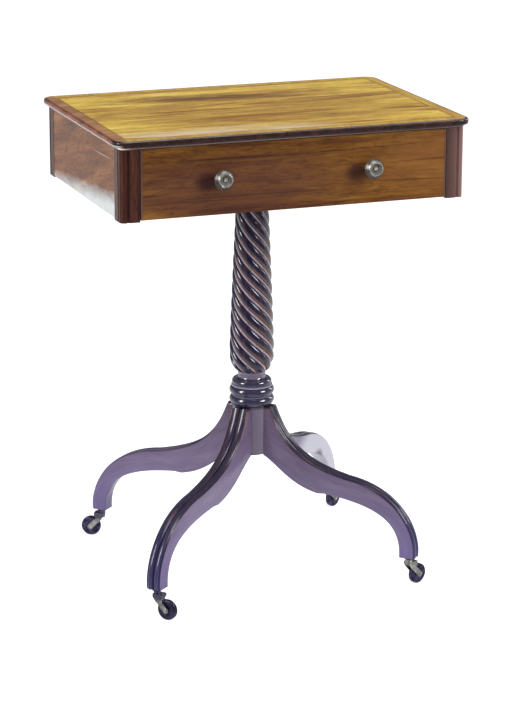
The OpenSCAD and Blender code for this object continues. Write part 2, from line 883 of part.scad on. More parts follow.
// Leg with its dovetail key, two reeds along the top and a bore for the castor
module leg(i) {
    rho = reaches[i];
    tip = rho + foot_d;
    color(wood_leg) rotate([0, 0, leg_angles[i]]) {
        difference() {
            intersection() {
                rotate([90, 0, 0]) linear_extrude(2 * leg_w_top, center = true) leg_side(rho);
                linear_extrude(table_h / 2)
                    polygon([
                        [0, -leg_w_top / 2], [tip, -leg_w_foot / 2],
                        [tip, leg_w_foot / 2], [0, leg_w_top / 2]
                    ]);
            }
            rotate([90, 0, 0]) linear_extrude(flute_w, center = true) flute_side(rho);
            translate([rho, 0, foot_z - 1]) cylinder(h = stem_l + 2, r = stem_r + screw_gap);
        }
        translate([0, 0, drum_z]) linear_extrude(key_top - drum_z) key_plan();
    }
}
module leg_fl() { leg(0); }
module leg_fr() { leg(1); }
module leg_bl() { leg(2); }
module leg_br() { leg(3); }

// Place a castor piece at its stem and turn it to its trailing direction
module at_castor(i) {
    rotate([0, 0, leg_angles[i]]) translate([reaches[i], 0, 0])
        rotate([0, 0, castor_dirs[i] - leg_angles[i]]) children();
}

// Stem screwed into the foot, with a flange and the pin for the horn
module castor_stem(i) {
    color(brass) at_castor(i) {
        translate([0, 0, foot_z]) cylinder(h = stem_l, r = stem_r);
        translate([0, 0, foot_z - flange_h]) cylinder(h = flange_h, r = flange_r);
        translate([0, 0, horn_bot - slide - rivet_h / 2])
            cylinder(h = foot_z - horn_bot + slide, r = pin_r);
        translate([0, 0, horn_bot - slide - rivet_h]) cylinder(h = rivet_h, r = pin_r + 1.5);
    }
}
module castor_stem_fl() { castor_stem(0); }
module castor_stem_fr() { castor_stem(1); }
module castor_stem_bl() { castor_stem(2); }
module castor_stem_br() { castor_stem(3); }

// Horn with two cheeks that reach back to the axle
module castor_horn(i) {
    color(brass) at_castor(i)
        difference() {
            union() {
                translate([0, 0, horn_bot]) cylinder(h = horn_top - horn_bot, r = horn_r);
                rotate([90, 0, 0]) {
                    linear_extrude(2 * (fork_in + fork_t), center = true)
                        translate([-4, crown_z]) square([crown_out + 4, crown_h]);
                    for (s = [-1, 1]) {
                        translate([0, 0, s * (fork_in + fork_t / 2)])
                            linear_extrude(fork_t, center = true) cheek();
                    }
                }
            }
            translate([0, 0, horn_bot - 1]) cylinder(h = 20, r = pin_r + run);
            translate([trail, 0, wheel_r]) rotate([90, 0, 0]) cylinder(h = 60, r = axle_r, center = true);
        }
}

// Side view of a cheek
module cheek() {
    polygon([
        [-4, crown_z + crown_h], [crown_out, crown_z + crown_h],
        [crown_out, crown_z], [9, horn_bot - 3.5], [trail + 3.4, wheel_r + 2.8],
        [trail + 4, wheel_r], [trail - 2.8, wheel_r - 3.4], [0.5, horn_bot - 6],
        [-4, crown_z]
    ]);
    translate([trail, wheel_r]) circle(4.4);
}
module castor_horn_fl() { castor_horn(0); }
module castor_horn_fr() { castor_horn(1); }
module castor_horn_bl() { castor_horn(2); }
module castor_horn_br() { castor_horn(3); }

// Riveted axle held in the cheeks
module castor_axle(i) {
    half = fork_in + fork_t;
    color(iron) at_castor(i)
        translate([trail, 0, wheel_r])
        rotate([90, 0, 0]) {
            cylinder(h = 2 * half + 1, r = axle_r, center = true);
            for (s = [-1, 1]) {
                translate([0, 0, s * (half + 0.5)]) cylinder(h = 1, r = axle_r + 1.1, center = true);
            }
        }
}
module castor_axle_fl() { castor_axle(0); }
module castor_axle_fr() { castor_axle(1); }
module castor_axle_bl() { castor_axle(2); }
module castor_axle_br() { castor_axle(3); }

// Wheel with rounded tread edges and a raised boss on each side
module castor_wheel(i) {
    tread = wheel_w / 2 - 0.6;
    color(brass) at_castor(i)
        translate([trail, 0, wheel_r])
        rotate([90, 0, 0])
        rotate_extrude()
        difference() {
            union() {
                translate([0, -wheel_w / 2]) square([4, wheel_w]);
                translate([0, -tread]) square([wheel_r - 2, 2 * tread]);
                translate([0, -tread + 2]) square([wheel_r, 2 * tread - 4]);
                for (s = [-1, 1]) {
                    translate([wheel_r - 2, s * (tread - 2)]) circle(2);
                }
            }
            translate([0, -wheel_w]) square([axle_r + run, 2 * wheel_w]);
        }
}
module castor_wheel_fl() { castor_wheel(0); }
module castor_wheel_fr() { castor_wheel(1); }
module castor_wheel_bl() { castor_wheel(2); }
module castor_wheel_br() { castor_wheel(3); }

top_board();
top_edge_moulding();
top_crossband();
top_stringing();
top_panel();
frieze_bead();
corner_post_fl();
corner_post_fr();
corner_post_bl();
corner_post_br();
side_left();
side_right();
back_panel();
front_top_rail();
front_bottom_rail();
runner_left();
runner_right();
kicker_left();
kicker_right();
drawer_stops();
glue_blocks();
top_screws();
bearer();
column_block();
block_screws();
drawer_front();
drawer_strips();
drawer_side_left();
drawer_side_right();
drawer_back();
drawer_bottom();
knob_left();
knob_right();
knob_screws();
column_shaft();
column_hub();
hub_plate();
hub_screws();
leg_fl();
leg_fr();
leg_bl();
leg_br();
castor_stem_fl();
castor_stem_fr();
castor_stem_bl();
castor_stem_br();
castor_horn_fl();
castor_horn_fr();
castor_horn_bl();
castor_horn_br();
castor_axle_fl();
castor_axle_fr();
castor_axle_bl();
castor_axle_br();
castor_wheel_fl();
castor_wheel_fr();
castor_wheel_bl();
castor_wheel_br();
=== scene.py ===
import math

import bpy
from mathutils import Matrix, Vector


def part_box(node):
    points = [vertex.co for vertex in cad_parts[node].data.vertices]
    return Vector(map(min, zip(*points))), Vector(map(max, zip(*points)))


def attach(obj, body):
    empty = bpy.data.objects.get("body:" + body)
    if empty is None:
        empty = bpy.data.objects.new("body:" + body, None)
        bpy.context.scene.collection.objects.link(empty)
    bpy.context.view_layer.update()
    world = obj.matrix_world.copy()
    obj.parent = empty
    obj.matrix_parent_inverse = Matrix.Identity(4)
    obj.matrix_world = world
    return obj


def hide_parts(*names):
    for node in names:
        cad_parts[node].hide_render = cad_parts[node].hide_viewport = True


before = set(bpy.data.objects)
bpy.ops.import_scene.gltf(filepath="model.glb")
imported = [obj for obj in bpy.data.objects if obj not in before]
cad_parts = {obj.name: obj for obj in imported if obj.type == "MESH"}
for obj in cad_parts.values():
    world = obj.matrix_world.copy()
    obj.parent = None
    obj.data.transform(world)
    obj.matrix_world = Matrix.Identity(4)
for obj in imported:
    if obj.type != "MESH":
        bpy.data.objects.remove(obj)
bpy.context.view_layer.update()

# Studio: a camera at the photograph's place, a white floor for the table to stand on, and
# soft lamps. The floor and the room are white to the camera and dimmer in the polish, while
# the table itself is lit at a plain level.
bpy.context.scene.view_settings.view_transform = "Standard"
camera_data = bpy.data.cameras.new("camera")
camera_data.sensor_width = 36
camera_data.lens = 138.8
camera = bpy.data.objects.new("camera", camera_data)
camera.location = (-1.3892, -3.7563, 1.4735)
camera.rotation_euler = [math.radians(a) for a in (74.1927, -0.1924, -20.3336)]
bpy.context.collection.objects.link(camera)
bpy.context.scene.camera = camera


def put(tree, kind, inputs=None, **settings):
    """Add a shader node; an input is a plain value or another node's output."""
    made = tree.nodes.new(kind)
    for name, value in settings.items():
        setattr(made, name, value)
    for name, value in (inputs or {}).items():
        if isinstance(value, bpy.types.NodeSocket):
            tree.links.new(value, made.inputs[name])
        else:
            made.inputs[name].default_value = value
    return made


def work(tree, way, *values):
    """Result of a maths node on outputs and plain numbers."""
    return put(tree, "ShaderNodeMath", dict(enumerate(values)), operation=way).outputs[0]


def times(tree, *factors):
    """Product of outputs and plain numbers."""
    made = factors[0]
    for factor in factors[1:]:
        made = work(tree, "MULTIPLY", made, factor)
    return made


def span(tree, value, start, end, low=0.0, high=1.0):
    """An output's run from start to end, turned into a run from low to high."""
    return put(tree, "ShaderNodeMapRange", {
        "Value": value, "From Min": start, "From Max": end, "To Min": low, "To Max": high}).outputs[0]


def reach_along(tree, vector, direction):
    """How far a vector goes in a direction."""
    made = put(tree, "ShaderNodeVectorMath", {0: vector, 1: direction}, operation="DOT_PRODUCT")
    return made.outputs["Value"]


def axis_of(tree, vector, axis):
    """One of a vector's three numbers: X, Y or Z."""
    return put(tree, "ShaderNodeSeparateXYZ", {"Vector": vector}).outputs[axis]


def on_object(tree):
    """Place on the piece, in the frame's own metres."""
    return put(tree, "ShaderNodeTexCoord").outputs["Object"]


def either(tree, share, first, second):
    """Two shaders mixed; a share of 1 gives the second."""
    return put(tree, "ShaderNodeMixShader", {0: share, 1: first, 2: second}).outputs[0]


TO_BACK = (0.335, 0.9, 0)   # level direction from the front of the studio to its back
SKY_WHITE = (0.93, 0.95, 1.0, 1)

# The room is white to the camera. In the polish it is dim overhead and towards the front, as
# where dark screens stand round a studio, so that dark wood stays dark.
world = bpy.data.worlds.new("white_room")
world.use_nodes = True
room = world.node_tree
room.nodes.clear()
room_rays = put(room, "ShaderNodeLightPath").outputs
room_way = put(room, "ShaderNodeTexCoord").outputs["Generated"]
up_fade = span(room, axis_of(room, room_way, "Z"), 0.0, 0.3, 0.45, 0.08)
near_fade = span(room, reach_along(room, room_way, TO_BACK), -0.4, 0.4, 0.1, 1.0)
plain_light = put(room, "ShaderNodeBackground", {"Color": SKY_WHITE, "Strength": 0.62}).outputs[0]
mirrored_room = put(room, "ShaderNodeBackground", {
    "Color": SKY_WHITE, "Strength": times(room, up_fade, near_fade)}).outputs[0]
white_seen = put(room, "ShaderNodeBackground", {"Color": (1, 1, 1, 1), "Strength": 1.0}).outputs[0]
room_lit = either(room, room_rays["Is Glossy Ray"], plain_light, mirrored_room)
room_glass = either(room, room_rays["Is Transmission Ray"], room_lit, white_seen)
room_shown = either(room, room_rays["Is Camera Ray"], room_glass, white_seen)
put(room, "ShaderNodeOutputWorld", {"Surface": room_shown})
bpy.context.scene.world = world


def lamp(name, stand, aim, size, power):
    """A soft square lamp that the camera doesn't see."""
    data = bpy.data.lights.new(name, "AREA")
    data.shape = "RECTANGLE"
    data.size, data.size_y = size
    data.energy = power
    made = bpy.data.objects.new(name, data)
    made.location = stand
    made.rotation_euler = (Vector(aim) - Vector(stand)).to_track_quat("-Z", "Y").to_euler()
    made.visible_camera = False
    bpy.context.collection.objects.link(made)


lamp("key_lamp", (1.95, -2.0, 1.75), (0, 0, 0.5), (1.1, 1.1), 44)
lamp("left_lamp", (-2.4, -0.5, 1.4), (0, 0, 0.4), (0.6, 1.4), 34)
lamp("right_lamp", (2.5, 0.7, 1.3), (0, 0, 0.4), (0.5, 1.2), 9)
lamp("top_lamp", (0.2, -0.6, 2.7), (0, 0, 0.5), (1.2, 1.2), 12)

bpy.ops.mesh.primitive_plane_add(size=60, location=(0, 0, 0))
floor = bpy.context.object
floor.name = "floor"
floor_paint = bpy.data.materials.new("white_floor")
floor_paint.use_nodes = True
paint = floor_paint.node_tree
paint.nodes.clear()
floor_rays = put(paint, "ShaderNodeLightPath").outputs
matt = put(paint, "ShaderNodeBsdfDiffuse", {"Color": (0.8, 0.8, 0.8, 1)}).outputs[0]
glow = put(paint, "ShaderNodeEmission", {"Color": (1, 1, 1, 1), "Strength": 0.6}).outputs[0]
glow_share = work(paint, "MAXIMUM", floor_rays["Is Camera Ray"], floor_rays["Is Transmission Ray"])
glow_seen = put(paint, "ShaderNodeMixShader", {0: glow_share, 2: glow}).outputs[0]
lit_floor = put(paint, "ShaderNodeAddShader", {0: matt, 1: glow_seen}).outputs[0]
from_table = put(paint, "ShaderNodeVectorMath", {0: on_object(paint)}, operation="LENGTH").outputs["Value"]
far_fade = span(paint, from_table, 0.5, 2.6, 0.9, 0.55)
front_fade = span(paint, reach_along(paint, on_object(paint), TO_BACK), -0.8, 0.4, 0.16, 1.0)
mirrored_floor = put(paint, "ShaderNodeEmission", {
    "Color": SKY_WHITE, "Strength": times(paint, far_fade, front_fade)}).outputs[0]
floor_shown = either(paint, floor_rays["Is Glossy Ray"], lit_floor, mirrored_floor)
put(paint, "ShaderNodeOutputMaterial", {"Surface": floor_shown})
floor.data.materials.append(floor_paint)


# Top of the table: a softwood ground board under golden figured veneer, framed by a dark
# stringing line and a band of cross-grained veneer, with a dark cross-grained moulding
# glued around the edge. All of it is French polished.
def tint(r, g, b):
    """Colour given as seen on a screen, 0 to 255, turned into the shader's values."""
    return tuple(((c / 255 + 0.055) / 1.055) ** 2.4 if c > 10 else c / 3294.6 for c in (r, g, b)) + (1,)


def new_finish(name):
    """Empty material; returns it with its node tree and its Principled shader."""
    made = bpy.data.materials.new(name)
    made.use_nodes = True
    tree = made.node_tree
    tree.nodes.clear()
    shader = put(tree, "ShaderNodeBsdfPrincipled")
    put(tree, "ShaderNodeOutputMaterial", {"Surface": shader.outputs[0]})
    return made, tree, shader


def place(tree, centre=(0, 0, 0), turn=(0, 0, 0), scale=(1, 1, 1)):
    """Object coordinates, moved to a centre, turned and stretched."""
    moved = put(tree, "ShaderNodeMapping", {"Vector": on_object(tree), "Location": [-c for c in centre]})
    turned = put(tree, "ShaderNodeMapping", {
        "Vector": moved.outputs[0], "Rotation": [math.radians(a) for a in turn]})
    return put(tree, "ShaderNodeMapping", {"Vector": turned.outputs[0], "Scale": scale}).outputs[0]


def cloud(tree, vector, detail=4.0, rough=0.5, bend=0.0):
    """Noise from 0 to 1, one cell to a unit of the vector."""
    made = put(tree, "ShaderNodeTexNoise", {
        "Vector": vector, "Scale": 1.0, "Detail": detail, "Roughness": rough, "Distortion": bend})
    return made.outputs["Fac"]


def ramp(tree, source, stops):
    """Colour ramp from (position, colour) pairs; a plain number stands for a grey."""
    made = put(tree, "ShaderNodeValToRGB", {"Fac": source})
    bar = made.color_ramp
    while len(bar.elements) < len(stops):
        bar.elements.new(1.0)
    for element, (position, colour) in zip(bar.elements, stops):
        element.position = position
        element.color = (colour, colour, colour, 1) if isinstance(colour, (int, float)) else colour
    return made.outputs["Color"]


def blend(tree, way, amount, under, over):
    """Mix two colours; amount is a number or an output."""
    made = put(tree, "ShaderNodeMix", data_type="RGBA", blend_type=way)
    for socket, value in zip((made.inputs[0], made.inputs[6], made.inputs[7]), (amount, under, over)):
        if isinstance(value, bpy.types.NodeSocket):
            tree.links.new(value, socket)
        else:
            socket.default_value = value
    return made.outputs[2]


def blob(tree, centre, halves, turn=(0, 0, 0)):
    """1 at a centre, falling to 0 at the surface of an ellipsoid with these half lengths."""
    made = put(tree, "ShaderNodeTexGradient", {"Vector": place(tree, centre, turn, [1 / h for h in halves])},
               gradient_type="SPHERICAL")
    return made.outputs["Fac"]


def patch(tree, centre, halves, start, full, most=1.0, turn=(0, 0, 0)):
    """Soft spot: 0 where its blob is below start, rising to most where the blob is full."""
    return ramp(tree, blob(tree, centre, halves, turn), [(start, 0.0), (full, most)])


AXES = {"x": (0, 0, 0), "y": (0, 0, -90), "z": (0, 90, 0)}


def polished_wood(name, grain, colours, long=2.2, across=26.0, pores=0.35, streaks=0.5, bend=1.2,
                  dark=(46, 24, 16), shine=0.3, coat=0.2, coat_rough=0.12, gloss=0.35,
                  slant=(0, 0, 0), flecks=0.0):
    """Polished wood with its grain along one axis: soft figure, dark streaks, short flecks, fine pores."""
    made, tree, shader = new_finish(name)
    turn = tuple(a + b for a, b in zip(AXES[grain], slant))

    def grained(stretch, squeeze, *noise):
        width = across * squeeze
        return cloud(tree, place(tree, turn=turn, scale=(long * stretch, width, width)), *noise)

    stops = [(0.25 + 0.5 * i / (len(colours) - 1), tint(*c)) for i, c in enumerate(colours)]
    base = ramp(tree, grained(1, 1, 5.0, 0.55, bend), stops)
    dark_lines = ramp(tree, grained(1.6, 7, 4.0, 0.6, 0.4), [(0.3, 0.45), (0.52, 1.0), (0.7, 1.12)])
    figured = blend(tree, "MULTIPLY", streaks, base, dark_lines)
    if flecks:
        short = ramp(tree, grained(9, 5, 5.0, 0.62, 1.6), [(0.34, 0.42), (0.5, 1.0), (0.66, 1.25)])
        figured = blend(tree, "MULTIPLY", flecks, figured, short)
    pits = grained(18, 45, 2.0, 0.5)
    in_pit = times(tree, ramp(tree, pits, [(0.56, 0.0), (0.66, 1.0)]), pores)
    coloured = blend(tree, "MIX", in_pit, figured, tint(*dark))
    tree.links.new(coloured, shader.inputs["Base Color"])
    handled = cloud(tree, place(tree, scale=(9, 9, 9)), 3.0, 0.6)
    tree.links.new(span(tree, handled, 0.0, 1.0, shine * 0.8, shine * 1.25), shader.inputs["Roughness"])
    shader.inputs["Coat Weight"].default_value = coat
    shader.inputs["Coat Roughness"].default_value = coat_rough
    shader.inputs["Specular IOR Level"].default_value = gloss
    bump = put(tree, "ShaderNodeBump", {"Strength": 0.12, "Distance": 0.0002, "Height": pits})
    tree.links.new(bump.outputs[0], shader.inputs["Normal"])
    return made, tree, shader, coloured


def dress(material, *nodes):
    """Give CAD nodes a material in place of their plain one."""
    for name in nodes:
        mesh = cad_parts[name].data
        mesh.materials.clear()
        mesh.materials.append(material)


ground_wood = polished_wood("ground_board", "x", [(150, 110, 72), (176, 138, 96), (196, 160, 116)],
                            shine=0.6, coat=0.0)[0]
dress(ground_wood, "top_board")

golden, tree, shader, coloured = polished_wood(
    "golden_veneer", "x",
    [(138, 90, 38), (188, 142, 54), (220, 181, 70), (238, 203, 84), (250, 221, 112)],
    long=4.0, across=26.0, pores=0.35, streaks=0.45, bend=1.6, dark=(138, 88, 34), shine=0.32, coat=0.1,
    coat_rough=0.1, gloss=0.2, flecks=0.5)
# A smoky dark band behind the middle
drift = cloud(tree, place(tree, scale=(12, 85, 85)), 5.0, 0.62, 1.5)
smoke_band = blob(tree, (-0.05, 0.094, 0.72), (0.26, 0.05, 0.1), (0, 0, 4))
smoke = work(tree, "ADD", smoke_band, times(tree, drift, 1.3))
smoky = ramp(tree, times(tree, smoke, 0.5), [(0.46, 0.0), (0.74, 0.85)])
with_smoke = blend(tree, "MIX", smoky, coloured, tint(104, 48, 16))
# A duller middle with thin dark lines and one long streak
middle = patch(tree, (0.02, -0.02, 0.72), (0.3, 0.15, 0.2), 0.0, 0.5)
duller = blend(tree, "MULTIPLY", times(tree, middle, 0.8), with_smoke, tint(216, 200, 190))
thin = ramp(tree, cloud(tree, place(tree, (0.3, 0.1, 0), scale=(3, 75, 75)), 3.0, 0.55, 0.5),
            [(0.56, 0.0), (0.66, 1.0)])
with_thin = blend(tree, "MIX", times(tree, thin, middle, 0.9), duller, tint(128, 68, 26))
wisps = ramp(tree, cloud(tree, place(tree, scale=(5, 60, 60)), 4.0, 0.6, 1.0),
             [(0.34, 0.45), (0.52, 1.0)])
long_streak = patch(tree, (-0.01, -0.06, 0.72), (0.15, 0.012, 0.1), 0.0, 0.5, turn=(0, 0, -2))
with_streak = blend(tree, "MIX", times(tree, long_streak, wisps, 0.8), with_thin, tint(134, 78, 26))
# Painted reflection: a pale sheen along the front of the top
front_sheen_breakup = ramp(tree, cloud(tree, place(tree, (0, 0.2, 0), scale=(7, 30, 30)), 4.0, 0.6, 1.0),
           [(0.36, 0.0), (0.6, 1.0)])
along_front = patch(tree, (-0.12, -0.19, 0.72), (0.24, 0.075, 0.1), 0.0, 0.5)
painted_front_sheen = blend(tree, "MIX", times(tree, front_sheen_breakup, along_front, 0.85), with_streak, tint(214, 198, 176))
tree.links.new(painted_front_sheen, shader.inputs["Base Color"])
dress(golden, "top_panel")

banding, tree, shader, coloured = polished_wood(
    "crossbanding", "y", [(176, 128, 50), (204, 160, 62), (220, 182, 80)], long=8.0, across=40.0,
    pores=0.3, shine=0.32, coat=0.1, gloss=0.2)
end_grain = ramp(tree, cloud(tree, place(tree, scale=(8, 70, 70)), 4.0, 0.6, 0.8),
                 [(0.3, tint(118, 70, 44)), (0.5, tint(162, 112, 68)), (0.7, tint(196, 150, 92))])
left_end = patch(tree, (-0.29, 0, 0.72), (0.05, 0.6, 0.2), 0.2, 0.3)
tree.links.new(blend(tree, "MIX", left_end, coloured, end_grain), shader.inputs["Base Color"])
dress(banding, "top_crossband")

line_wood = polished_wood("stringing", "x", [(60, 36, 22), (88, 58, 34)], pores=0.1, coat=0.15)[0]
dress(line_wood, "top_stringing")

edge_low, edge_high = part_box("top_edge_moulding")
edge_wood, tree, shader, coloured = polished_wood(
    "edge_moulding", "y", [(34, 22, 24), (52, 34, 32), (76, 46, 38)], long=20.0,
    across=60.0, pores=0.2, shine=0.24, coat=0.3)
red_end = ramp(tree, cloud(tree, place(tree, scale=(40, 22, 40)), 4.0, 0.6, 0.8),
               [(0.3, tint(84, 42, 28)), (0.5, tint(126, 70, 46)), (0.7, tint(156, 100, 68))])
left_edge = patch(tree, (-0.29, 0.01, 0.715), (0.05, 0.21, 0.2), 0.06, 0.12)
with_red = blend(tree, "MIX", left_edge, coloured, red_end)
# Painted highlight: a pale line on the upper arris along the front
height = axis_of(tree, on_object(tree), "Z")
at_arris = span(tree, height, edge_high.z - 0.0016, edge_high.z - 0.0006)
at_front = span(tree, axis_of(tree, on_object(tree), "Y"), edge_low.y + 0.0055, edge_low.y + 0.0045)
arris_highlight_breakup = ramp(tree, cloud(tree, place(tree, scale=(30, 30, 30)), 4.0, 0.6), [(0.3, 0.4), (0.6, 0.95)])
arris_highlight_share = times(tree, at_arris, at_front, arris_highlight_breakup, 0.3)
with_arris_highlight = blend(tree, "MIX", arris_highlight_share, with_red, tint(196, 182, 170))
# Painted reflection: a light line under the left end
at_foot = span(tree, height, edge_high.z - 0.0054, edge_high.z - 0.0062)
at_left = span(tree, axis_of(tree, on_object(tree), "X"), edge_low.x + 0.012, edge_low.x + 0.006)
with_lower_edge_reflection = blend(tree, "MIX", times(tree, at_foot, at_left, 0.4), with_arris_highlight, tint(250, 246, 238))
tree.links.new(with_lower_edge_reflection, shader.inputs["Base Color"])
dress(edge_wood, "top_edge_moulding")

# Bead under the top: a strip of light wood around the frieze, polished smooth, painted much lighter
# at the left end, as where light falls on it, than along the front, which lies in shade.
bead_wood, tree, shader, coloured = polished_wood(
    "pale_bead", "x", [(112, 96, 94), (128, 112, 108), (146, 130, 124)], pores=0.1,
    dark=(96, 78, 66), shine=0.25, coat=0.3)
# Painted light: the left end of the bead made near white
lit_left_end = patch(tree, (-0.285, 0, 0.705), (0.05, 0.6, 0.2), 0.2, 0.5)
tree.links.new(blend(tree, "MIX", lit_left_end, coloured, tint(246, 240, 232)), shader.inputs["Base Color"])
dress(bead_wood, "frieze_bead")

# Corner posts: solid dark rosewood with upright grain, a quarter-round on the outer corner
# and a flute on each side of it, planed with moulding planes.
post_wood, tree, shader, coloured = polished_wood(
    "corner_posts", "z", [(36, 18, 20), (70, 36, 28), (104, 62, 48)], long=3.0, across=60.0, pores=0.4,
    streaks=0.8, dark=(28, 15, 14), shine=0.26, coat=0.2, flecks=0.7)
# Painted reflection: the right front post is lighter, a sheen on its quarter-round
right_post_sheen = ramp(tree, blob(tree, (0.29, -0.17, 0.66), (0.07, 0.2, 0.3)),
                  [(0.1, 0.0), (0.4, 0.4), (0.6, 0.8)])
tree.links.new(blend(tree, "MIX", right_post_sheen, coloured, tint(140, 108, 102)), shader.inputs["Base Color"])
dress(post_wood, "corner_post_fl", "corner_post_fr", "corner_post_bl", "corner_post_br")

# Side and back panels: veneered boards tongued into the posts, red-brown and polished.
side_wood, tree, shader, coloured = polished_wood(
    "side_panels", "y", [(94, 50, 22), (132, 82, 42), (162, 112, 66)], long=4.0, across=30.0, pores=0.35,
    dark=(84, 48, 34), shine=0.34, coat=0.4, coat_rough=0.09, gloss=0.12, slant=(14, 0, 0), flecks=0.7)
# The left panel has a painted glare along its lower edge, a pale painted reflection, more so towards the
# front, and it is scratched
across_y, up_z = (axis_of(tree, on_object(tree), axis) for axis in "YZ")
rim_height = work(tree, "MULTIPLY_ADD", across_y, -0.095, 0.6275)
fray = cloud(tree, place(tree, scale=(40, 40, 120)), 4.0, 0.6)
frayed = work(tree, "MULTIPLY_ADD", fray, 0.016, -0.008)
over_rim = work(tree, "ADD", work(tree, "SUBTRACT", up_z, rim_height), frayed)
below_rim = span(tree, over_rim, -0.022, 0.002, 0.85, 0.0)
on_left = span(tree, axis_of(tree, on_object(tree), "X"), -0.2, -0.1, 1.0, 0.0)
painted_glare_rim = blend(tree, "MIX", times(tree, below_rim, on_left), coloured, tint(220, 226, 226))
scratch = patch(tree, (-0.2655, -0.095, 0.6850), (0.05, 0.055, 0.0012), 0.05, 0.4, 0.4, (1.5, 0, 0))
scratched = blend(tree, "MIX", times(tree, scratch, on_left), painted_glare_rim, tint(206, 190, 172))
tree.links.new(scratched, shader.inputs["Base Color"])
dress(side_wood, "side_left", "side_right")
back_wood = polished_wood("back_panel", "x", [(96, 64, 44), (122, 86, 58), (142, 106, 74)], long=2.2,
                          across=22.0, pores=0.35, shine=0.34, coat=0.5)[0]
dress(back_wood, "back_panel")

# Inside of the frieze: bare planed rails, runners, kickers, stops and blocks, with iron
# screws, and the polished block that the column's tenon goes into.
for grain, nodes in (
        ("x", ("front_top_rail", "front_bottom_rail", "glue_blocks")),
        ("y", ("runner_left", "runner_right", "kicker_left", "kicker_right", "drawer_stops", "bearer"))):
    bare = polished_wood("bare_rails_" + grain, grain, [(120, 84, 56), (142, 102, 70), (160, 122, 88)],
                         shine=0.65, coat=0.0)[0]
    dress(bare, *nodes)
block_wood = polished_wood("column_block", "x", [(52, 32, 34), (74, 48, 46), (92, 62, 56)], pores=0.3,
                           dark=(28, 16, 18), shine=0.35, coat=0.5)[0]
dress(block_wood, "column_block")


def metal(name, clean, dull, patches=40.0, shine=0.35):
    """Old metal whose colour and polish change in small patches."""
    made, tree, shader = new_finish(name)
    spots = cloud(tree, place(tree, scale=(patches, patches, patches)), 5.0, 0.65)
    coloured = ramp(tree, spots, [(0.38, tint(*dull)), (0.62, tint(*clean))])
    tree.links.new(coloured, shader.inputs["Base Color"])
    shader.inputs["Metallic"].default_value = 1.0
    tree.links.new(span(tree, spots, 0.0, 1.0, shine * 1.5, shine * 0.7), shader.inputs["Roughness"])
    grit = cloud(tree, place(tree, scale=(900, 900, 900)), 2.0, 0.5)
    bump = put(tree, "ShaderNodeBump", {"Strength": 0.15, "Distance": 0.0001, "Height": grit})
    tree.links.new(bump.outputs[0], shader.inputs["Normal"])
    return made, tree, shader, coloured


iron = metal("iron_screws", (118, 116, 112), (70, 62, 56))[0]
dress(iron, "top_screws", "block_screws", "hub_screws", "knob_screws", "hub_plate")

# Drawer: a veneered front over the whole height of the frieze with light lines at its ends,
# and a bare box behind it, dovetailed, its bottom held in grooves.
front_wood, tree, shader, coloured = polished_wood(
    "drawer_front", "x", [(80, 42, 22), (104, 62, 24), (126, 82, 28), (148, 102, 40)], long=3.6, across=36.0,
    pores=0.3, streaks=0.4, bend=1.2, dark=(56, 28, 16), shine=0.28, coat=0.15, gloss=0.25, flecks=0.8)
lower_left = patch(tree, (-0.1, -0.18, 0.64), (0.24, 0.1, 0.06), 0.0, 0.6, 0.7)
deeper = blend(tree, "MIX", times(tree, lower_left, 0.75), coloured, tint(84, 50, 48))
right_end = patch(tree, (0.22, -0.18, 0.66), (0.16, 0.1, 0.07), 0.0, 0.8, 0.6)
warmer = blend(tree, "MIX", right_end, deeper, tint(134, 86, 44))
lines = ramp(tree, cloud(tree, place(tree, (0.1, 0, 0.02), scale=(3.5, 60, 150)), 4.0, 0.55, 0.6),
             [(0.56, 0.0), (0.68, 1.0)])
front_colour = blend(tree, "MIX", times(tree, lines, 0.55), warmer, tint(60, 32, 24))
face_y = -0.183
# Thin cracks: middle, height, half length and tilt of each
for x, z, half, tilt in ((-0.09, 0.6852, 0.12, 0.0), (0.1, 0.686, 0.16, 1.2), (-0.1, 0.6295, 0.1, 0.3),
                         (0.0, 0.629, 0.08, 0.0), (0.18, 0.6345, 0.09, -1.6)):
    crack = patch(tree, (x, face_y, z), (half, 0.05, 0.0018), 0.1, 0.5, 0.45, (0, tilt, 0))
    front_colour = blend(tree, "MIX", crack, front_colour, tint(50, 26, 24))
# Painted shadow at the lower left of each knob. Dirt on and round a knob is centred 2 mm above its axis
knob_dirt_and_shadow_centres = {"left": (-0.1155, 0, 0.6595), "right": (0.1155, 0, 0.6595)}
for x, _, z in knob_dirt_and_shadow_centres.values():
    painted_knob_shadow = patch(tree, (x - 0.02, face_y, z - 0.007), (0.024, 0.05, 0.017), 0.0, 0.6, 0.75)
    front_colour = blend(tree, "MIX", painted_knob_shadow, front_colour, tint(50, 26, 30))
tree.links.new(front_colour, shader.inputs["Base Color"])
dress(front_wood, "drawer_front")
strip_wood = polished_wood("drawer_lines", "z", [(92, 66, 60), (108, 80, 70)], pores=0.1, coat=0.2)[0]
dress(strip_wood, "drawer_strips")
for grain, nodes in (("y", ("drawer_side_left", "drawer_side_right")),
                     ("x", ("drawer_back", "drawer_bottom"))):
    lining = polished_wood("drawer_lining_" + grain, grain,
                           [(160, 122, 84), (182, 146, 104), (196, 162, 120)], shine=0.6, coat=0.0)[0]
    dress(lining, *nodes)

